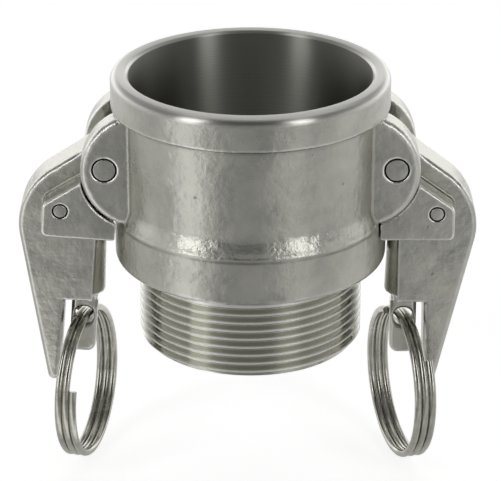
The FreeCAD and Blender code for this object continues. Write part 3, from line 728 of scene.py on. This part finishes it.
def slotAngles():
    half = math.asin(bodySizes["slotHalfWidth"] / bodySizes["boreRadius"])
    return [half, -half, math.pi - half, math.pi + half]


def sharpPairs(profile, limit):
    # Profile rows where the outline turns by more than the limit get doubled, so their edges stay crisp.
    rows = [profile[0]]
    for before, here, after in zip(profile, profile[1:], profile[2:]):
        first = math.atan2(here[1] - before[1], here[0] - before[0])
        second = math.atan2(after[1] - here[1], after[0] - here[0])
        turn = abs((second - first + math.pi) % (2 * math.pi) - math.pi)
        rows += [here, here] if turn > limit else [here]
    return rows + [profile[-1]]


def lathe(name, profile, angles, isOpen=None):
    rows = sharpPairs(profile, math.radians(30))
    points = [(r * math.cos(a) * mm, r * math.sin(a) * mm, z * mm) for r, z in rows for a in angles]
    count = len(angles)
    faces = []
    for row in range(len(rows) - 1):
        if rows[row] == rows[row + 1]:
            continue
        for column in range(count):
            after = (column + 1) % count
            middle = (angles[column] + (angles[after] if after else angles[0] + 2 * math.pi)) / 2
            if isOpen and isOpen(rows[row], rows[row + 1], middle):
                continue
            a, b = row * count + column, row * count + after
            faces.append((a, b, b + count, a + count))
    return newPiece(name, meshFrom(name, points, faces))


def isSlotWindow(upper, lower, angle):
    half = slotAngles()[0]
    inSlot = abs(math.sin(angle)) < math.sin(half)
    onBore = upper[0] == lower[0] == bodySizes["boreRadius"]
    return inSlot and onBore and (upper[1], lower[1]) == (bodySizes["slotTop"], bodySizes["slotBottom"])


bodySocket = lathe("body_socket", socketProfile(), columnAngles(240, slotAngles()), isSlotWindow)
finishPiece(bodySocket, "coupler", shadedBoreSteel, ["coupler_body"])
bodyRim = lathe("body_rim", rimProfile(), columnAngles(240, [0]))
finishPiece(bodyRim, "coupler", turnedSteel, ["coupler_body"])


# male pipe thread

threadSizes = {
    "crestRadius": 29.8,
    "rootRadius": 28.35,
    "pitch": 2.309,
    "crestWidth": 0.24,
    "rootWidth": 0.22,
    "length": bodySizes["footDepth"],
    "runOut": 3.4,  # plain length under the shoulder, and the share of it without any groove
    "runOutPlain": 0.55,
    "endChamfer": 1.7,
    "columns": 240,
}


def threadRadius(height, depthShare):
    s = threadSizes
    grooved = (-height / s["runOut"] - s["runOutPlain"]) / (1 - s["runOutPlain"])
    depth = (s["crestRadius"] - s["rootRadius"]) * depthShare * min(1.0, max(0.0, grooved))
    end = height + s["length"] - s["endChamfer"]
    return s["crestRadius"] + min(-depth, end)


def threadMesh():
    # Rows follow the helix, so that crests and roots are crisp lines; both ends are cut off level.
    s = threadSizes
    flank = (s["pitch"] - s["crestWidth"] - s["rootWidth"]) / 2
    steps = [0, s["crestWidth"], s["crestWidth"] + flank, s["crestWidth"] + flank + s["rootWidth"]]
    shares = [0, 0, 1, 1]
    turns = int(s["length"] / s["pitch"]) + 3
    points = []
    rows = 0
    for turn in range(turns):
        for step, share in zip(steps, shares):
            for copy in range(2):
                for column in range(s["columns"] + 1):
                    part = column / s["columns"]
                    height = -(turn - 1 + part) * s["pitch"] - step
                    level = min(0.0, max(-s["length"], height))
                    radius = threadRadius(level, share)
                    angle = -2 * math.pi * part
                    points.append((radius * math.cos(angle) * mm, radius * math.sin(angle) * mm, level * mm))
                rows += 1
    wide = s["columns"] + 1
    faces = []
    for row in range(1, rows - 1, 2):
        for column in range(s["columns"]):
            a = row * wide + column
            faces.append((a, a + wide, a + wide + 1, a + 1))
    return meshFrom("male_thread", points, faces)


def footProfile():
    s = threadSizes
    return [
        (bodySizes["waterwayRadius"] + bodySizes["footChamfer"], -s["length"]),
        (s["crestRadius"] - s["endChamfer"], -s["length"]),
    ]


maleThread = newPiece("male_thread", threadMesh())
finishPiece(maleThread, "coupler", threadSteel, ["coupler_body"])
threadEnd = lathe("thread_end", footProfile(), columnAngles(120, [0]))
finishPiece(threadEnd, "coupler", turnedSteel, ["coupler_body"])
shoulderProfile = [(threadSizes["crestRadius"], 0.0), (bodySizes["shoulderRadius"], 0.0)]
shoulder = lathe("body_shoulder", shoulderProfile, columnAngles(120, [0]))
finishPiece(shoulder, "coupler", turnedSteel, ["coupler_body"])
print("turned socket and thread made")


# cam arms and latches

armSizes = {"voxel": 0.22, "softRounds": 8, "edgeBend": 0.02}
latchSizes = {"voxel": 0.18, "softRounds": 6, "edgeBend": 0.02}
relief = {
    "softness": 0.15,  # on the cheeks' edge round an ear
    "reach": 17.2,
    "inside": 6.5,
    "closing": 0.1,
    "closingFade": (2.4, 1.0),
    "closingInside": 7.0,
}
kneeWall = {
    "centre": (3.23, -19.32),
    "inner": 17.7,
    "outer": 18.48,
    "first": 22,
    "last": 52,
    "half": 3.4,
    "steps": 12,
}
openAngle = {"right": 0.0, "left": 4.5}


def evenly(points):
    return np.ones(len(points))


def armFrame(points, word):
    # Places points given in an arm's own frame (outward, across, up from its pivot) on the part.
    angle = math.radians(openAngle[word])
    side = 1 if word == "right" else -1
    out = points[:, 0] * math.cos(angle) - points[:, 2] * math.sin(angle)
    up = points[:, 0] * math.sin(angle) + points[:, 2] * math.cos(angle)
    return np.stack([side * (pivotPlace[0] + out), points[:, 1], pivotPlace[1] + up], axis=1)


def armSoftness(points):
    # Less rounding where the cheeks follow the ears, so that the gap between them stays narrow.
    out = np.abs(points[:, 0]) - (pivotPlace[0] - earDisc["setback"])
    up = points[:, 2] - (pivotPlace[1] - earDisc["drop"])
    onRelief = (np.hypot(out, up) < relief["reach"]) & (np.abs(points[:, 1]) > relief["inside"])
    return np.where(onRelief, relief["softness"], 1.0)


def closeRelief(mesh, word):
    # The cheeks stand close to the ears, as on the real arms.
    points = readPoints(mesh) / mm
    earMiddle = armFrame(np.array([(-earDisc["setback"], 0.0, -earDisc["drop"])]), word)[0]
    onCheek = np.abs(points[:, 1]) > relief["closingInside"]

    def closing(away):
        past = away - earDisc["reach"]
        near = smoothStep(past, *relief["closingFade"]) * (past > earDisc["play"])
        return -relief["closing"] * onCheek * near

    moved = pushFrom(points, (earMiddle[0], earMiddle[2]), closing)
    mesh.vertices.foreach_set("co", (moved * mm).ravel())
    mesh.update()


def kneeWallMesh(word):
    # Closes the knee over the spring's room, flush with the arm's outside.
    w = kneeWall
    rows = []
    for angle in np.radians(np.linspace(w["first"], w["last"], w["steps"] + 1)):
        for radius, across in ((w["inner"], -1), (w["outer"], -1), (w["outer"], 1), (w["inner"], 1)):
            out = w["centre"][0] + radius * math.cos(angle)
            rows.append((out, across * w["half"], w["centre"][1] + radius * math.sin(angle)))
    points = armFrame(np.array(rows), word) * mm
    faces = [(0, 1, 2, 3)] + [(4 * w["steps"] + i for i in (3, 2, 1, 0))]
    for step in range(w["steps"]):
        a = 4 * step
        faces += [(a + i, a + 4 + i, a + 4 + (i + 1) % 4, a + (i + 1) % 4) for i in range(4)]
    mesh = meshFrom("knee_wall", points, faces, smooth=False)
    work = bmesh.new()
    work.from_mesh(mesh)
    bmesh.ops.recalc_face_normals(work, faces=work.faces)
    work.to_mesh(mesh)
    work.free()
    return mesh


for word in ("right", "left"):
    arm = castCopy(f"{word}_arm_casting", f"{word}_cam_arm", armSizes, armSoftness, kneeWallMesh(word))
    closeRelief(arm.data, word)
    finishPiece(arm, f"{word}_arm", blastedCasting, [f"{word}_cam_arm"])
    latch = castCopy(f"{word}_latch_casting", f"{word}_latch", latchSizes, evenly)
    finishPiece(latch, f"{word}_lock", blastedCasting, [f"{word}_latch"])
print("arms and latches cast")


# cross pins

pinSizes = {
    "pivot": {"radius": 2.9, "half": 14.12},
    "latch": {"radius": 1.73, "half": 12.92},
    "bevel": 0.22,
    "shadeDepth": 0.16,
    "columns": 72,
}


def crossPin(name, nodeName, kind):
    low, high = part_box(nodeName)
    middle = (low + high) / 2
    bevel = pinSizes["bevel"]
    radius, half = pinSizes[kind]["radius"], pinSizes[kind]["half"]
    profile = [(0.0, half), (radius - bevel, half)]
    profile += arcPoints((radius - bevel, half - bevel), bevel, 90, 0, 4)[1:]
    profile += [(r, -h) for r, h in reversed(profile)]
    angles = np.linspace(0, 2 * math.pi, pinSizes["columns"], endpoint=False)
    pin = lathe(name, profile, angles)
    points = readPoints(pin.data)
    turned = np.stack([points[:, 0], points[:, 2], -points[:, 1]], axis=1) + np.array(middle)
    pin.data.vertices.foreach_set("co", turned.ravel())
    pin.data.update()
    return pin


def darkenSides(pin, kind):
    # Painted shade in the thin gap round each pin: its sides are near-black.
    pin.data.materials.append(pinGapShade)
    onSide = np.abs(faceMiddles(pin.data)[:, 1]) < pinSizes[kind]["half"] - pinSizes["shadeDepth"]
    pin.data.polygons.foreach_set("material_index", onSide.astype(np.int32))


for word in ("right", "left"):
    pivotPin = crossPin(f"{word}_pivot_pin", f"{word}_arm_pivot_pin", "pivot")
    finishPiece(pivotPin, "coupler", blastedCasting, [f"{word}_arm_pivot_pin"])
    darkenSides(pivotPin, "pivot")
    latchPin = crossPin(f"{word}_small_pin", f"{word}_latch_pin", "latch")
    finishPiece(latchPin, f"{word}_arm", blastedCasting, [f"{word}_latch_pin"])
    darkenSides(latchPin, "latch")


# pull rings

ringSizes = {
    "radius": 20.0,
    "wire": 0.98,
    "pitch": 2.0,
    "turns": 3,
    "stepsPerTurn": 96,
    "yaw": 14.6,
    "right": {"side": 1, "eye": (41.25, 0, -18.85), "start": -15, "end": 50},
    "left": {"side": -1, "eye": (-44.959, 0, -18.441), "start": -12, "end": 73},
}


def ringPoints(hang):
    s = ringSizes
    turns = s["turns"] - (hang["end"] - hang["start"]) / 360
    share = np.linspace(0, turns, int(turns * s["stepsPerTurn"]))
    angle = np.radians(90 + hang["start"]) - 2 * math.pi * share
    across = s["pitch"] * (share - s["turns"] / 2 - hang["start"] / 360)
    inPlane = s["radius"] * np.cos(angle)
    upright = s["radius"] * np.sin(angle) - s["radius"]
    yaw = math.radians(hang["side"] * s["yaw"])
    x = across * math.cos(yaw) - inPlane * math.sin(yaw)
    y = across * math.sin(yaw) + inPlane * math.cos(yaw)
    return np.stack([x, y, upright], axis=1) + np.array(hang["eye"])


def woundRing(name, hang):
    curve = bpy.data.curves.new(name, "CURVE")
    curve.dimensions = "3D"
    curve.bevel_depth = ringSizes["wire"] * mm
    curve.bevel_resolution = 5
    curve.use_fill_caps = True
    points = ringPoints(hang) * mm
    spline = curve.splines.new("POLY")
    spline.points.add(len(points) - 1)
    spline.points.foreach_set("co", np.hstack([points, np.ones((len(points), 1))]).ravel())
    return newPiece(name, curve)


for word in ("right", "left"):
    ring = woundRing(f"{word}_ring_wire", ringSizes[word])
    finishPiece(ring, f"{word}_ring", drawnWire, [f"{word}_pull_ring"])
print("pins and rings made")


# gasket and latch springs keep their solids

plainPieces = {"gasket": sealRubber, "right_latch_spring": drawnWire, "left_latch_spring": drawnWire}
for nodeName, material in plainPieces.items():
    nodes[nodeName].data.materials.clear()
    nodes[nodeName].data.materials.append(material)


# floor, light and camera

studio = {
    "floorHeight": -61.5,
    "floorSize": 8000.0,
    "floorColour": 0.6,
    "floorGlow": 0.72,
    "frontLow": 0.36,  # the room's brightness in front and behind, near the horizon and higher up
    "frontHigh": 0.03,
    "backLow": 1.8,
    "backHigh": 0.40,
    "lowTo": 0.2,
    "highFrom": 0.42,
    "frontTo": -0.6,
    "backFrom": 0.7,
    # How bright the table looks to the metal, by direction from the object (0 is the camera's side).
    "floorBands": (
        (-180, 0.70), (-95, 0.34), (-64, 0.26), (-59, 0.92), (-45, 0.92), (-37, 0.28),
        (-22, 0.07), (-14, 0.01), (12, 0.01), (20, 0.06),
        (27, 0.22), (32, 0.38), (43, 0.36), (54, 0.18), (95, 0.42), (180, 0.70),
    ),
    # Direction seen from above (positive to the right of the camera) and angle above the floor.
    "softboxes": {
        "leftBox": {"turn": -50, "lift": 28, "distance": 1100, "width": 320, "height": 900, "watts": 2.6},
        "rightBox": {"turn": 42, "lift": 26, "distance": 1100, "width": 300, "height": 900, "watts": 2.3},
        "topBox": {"turn": 170, "lift": 62, "distance": 1100, "width": 900, "height": 700, "watts": 1.2},
    },
}


def addBands(tree, bands):
    # Colour ramp over the direction in the floor's plane.
    link = tree.links.new
    where = addNode(tree, "ShaderNodeTexCoord", (-1900, -500))
    parts = addNode(tree, "ShaderNodeSeparateXYZ", (-1700, -500))
    link(where.outputs["Object"], parts.inputs["Vector"])
    ahead = addNode(tree, "ShaderNodeMath", (-1500, -600), {1: -1.0}, operation="MULTIPLY")
    link(parts.outputs["Y"], ahead.inputs[0])
    turn = addNode(tree, "ShaderNodeMath", (-1300, -500), operation="ARCTAN2")
    link(parts.outputs["X"], turn.inputs[0])
    link(ahead.outputs["Value"], turn.inputs[1])
    share = addNode(tree, "ShaderNodeMapRange", (-1100, -500), {"From Min": -math.pi, "From Max": math.pi})
    link(turn.outputs["Value"], share.inputs["Value"])
    ramp = addNode(tree, "ShaderNodeValToRGB", (-900, -500))
    stops = ramp.color_ramp.elements
    while len(stops) < len(bands):
        stops.new(0.5)
    for stop, (degrees, bright) in zip(stops, bands):
        stop.position = (degrees + 180) / 360
    for stop, (degrees, bright) in zip(stops, bands):
        stop.color = (bright, bright, bright, 1)
    link(share.outputs["Result"], ramp.inputs["Fac"])
    return ramp.outputs["Color"]


def addFloor():
    half = studio["floorSize"] / 2 * mm
    level = studio["floorHeight"] * mm
    corners = [(-half, -half, level), (half, -half, level), (half, half, level), (-half, half, level)]
    floor = newPiece("floor", meshFrom("floor", corners, [(0, 1, 2, 3)]))
    material, tree = newMaterial("paleFloor")
    link = tree.links.new
    shade = studio["floorColour"]
    matt = addNode(tree, "ShaderNodeBsdfDiffuse", (-300, 100), {"Color": (shade, shade, shade, 1)})
    glow = addNode(tree, "ShaderNodeEmission", (-300, -100))
    rays = addNode(tree, "ShaderNodeLightPath", (-900, -200))
    shine = addNode(tree, "ShaderNodeMath", (-700, -300), operation="MULTIPLY")
    link(rays.outputs["Is Glossy Ray"], shine.inputs[0])
    link(addBands(tree, studio["floorBands"]), shine.inputs[1])
    seen = {1: studio["floorGlow"]}
    strength = addNode(tree, "ShaderNodeMath", (-500, -200), seen, operation="MULTIPLY_ADD")
    link(rays.outputs["Is Camera Ray"], strength.inputs[0])
    link(shine.outputs["Value"], strength.inputs[2])
    link(strength.outputs["Value"], glow.inputs["Strength"])
    both = addNode(tree, "ShaderNodeAddShader", (0, 0))
    link(matt.outputs["BSDF"], both.inputs[0])
    link(glow.outputs["Emission"], both.inputs[1])
    out = addNode(tree, "ShaderNodeOutputMaterial", (300, 0))
    link(both.outputs["Shader"], out.inputs["Surface"])
    floor.data.materials.append(material)


def addSky():
    # A white room behind and above the object and a dim one in front, where the camera stands.
    world = bpy.data.worlds.new("studioRoom")
    bpy.context.scene.world = world
    world.use_nodes = True
    tree = world.node_tree
    tree.nodes.clear()
    link = tree.links.new
    where = addNode(tree, "ShaderNodeTexCoord", (-1200, 0))
    parts = addNode(tree, "ShaderNodeSeparateXYZ", (-1000, 0))
    link(where.outputs["Generated"], parts.inputs["Vector"])
    full = (0.0, 1.0)
    depth = addSpread(tree, (-800, 100), parts.outputs["Y"], full, (studio["frontTo"], studio["backFrom"]))
    rise = addSpread(tree, (-800, -200), parts.outputs["Z"], full, (studio["lowTo"], studio["highFrom"]))
    top = mixColours(tree, (-300, 0), rise, (0, 0, 0), (0, 0, 0))
    for socket, level, place in (("A", "Low", (-550, 200)), ("B", "High", (-550, -100))):
        front, back = (studio["front" + level],) * 3, (studio["back" + level],) * 3
        link(mixColours(tree, place, depth, front, back).outputs["Result"], top.inputs[socket])
    background = addNode(tree, "ShaderNodeBackground", (-100, 0))
    link(top.outputs["Result"], background.inputs["Color"])
    white = addNode(tree, "ShaderNodeBackground", (-100, -200), {"Color": (1, 1, 1, 1)})
    rays = addNode(tree, "ShaderNodeLightPath", (-100, 300))
    choice = addNode(tree, "ShaderNodeMixShader", (200, 0))
    link(rays.outputs["Is Camera Ray"], choice.inputs[0])
    link(background.outputs["Background"], choice.inputs[1])
    link(white.outputs["Background"], choice.inputs[2])
    out = addNode(tree, "ShaderNodeOutputWorld", (450, 0))
    link(choice.outputs["Shader"], out.inputs["Surface"])


def addSoftbox(name, box):
    lamp = bpy.data.lights.new(name, "AREA")
    lamp.shape = "RECTANGLE"
    lamp.size = box["width"] * mm
    lamp.size_y = box["height"] * mm
    lamp.energy = box["watts"]
    holder = bpy.data.objects.new(name, lamp)
    bpy.context.scene.collection.objects.link(holder)
    turn, lift = math.radians(box["turn"]), math.radians(box["lift"])
    away = Vector((math.sin(turn) * math.cos(lift), -math.cos(turn) * math.cos(lift), math.sin(lift)))
    holder.location = away * box["distance"] * mm
    holder.rotation_euler = (-away).to_track_quat("-Z", "Y").to_euler()


cameraView = {"place": (0.0, -614.876, 272.005), "aim": (0.0, 0.0, 2.99), "lens": 180.05, "sensor": 36.0}


def addCamera():
    camera = bpy.data.objects.new("camera", bpy.data.cameras.new("camera"))
    bpy.context.scene.collection.objects.link(camera)
    camera.data.lens = cameraView["lens"]
    camera.data.sensor_width = cameraView["sensor"]
    camera.data.clip_start = 0.01
    camera.data.clip_end = 50
    camera.location = Vector(cameraView["place"]) * mm
    gaze = (Vector(cameraView["aim"]) - Vector(cameraView["place"])) * mm
    camera.rotation_euler = gaze.to_track_quat("-Z", "Y").to_euler()
    bpy.context.scene.camera = camera


addFloor()
addSky()
for name, box in studio["softboxes"].items():
    addSoftbox(name, box)
addCamera()
bpy.context.scene.view_settings.view_transform = "Standard"
print("studio ready")
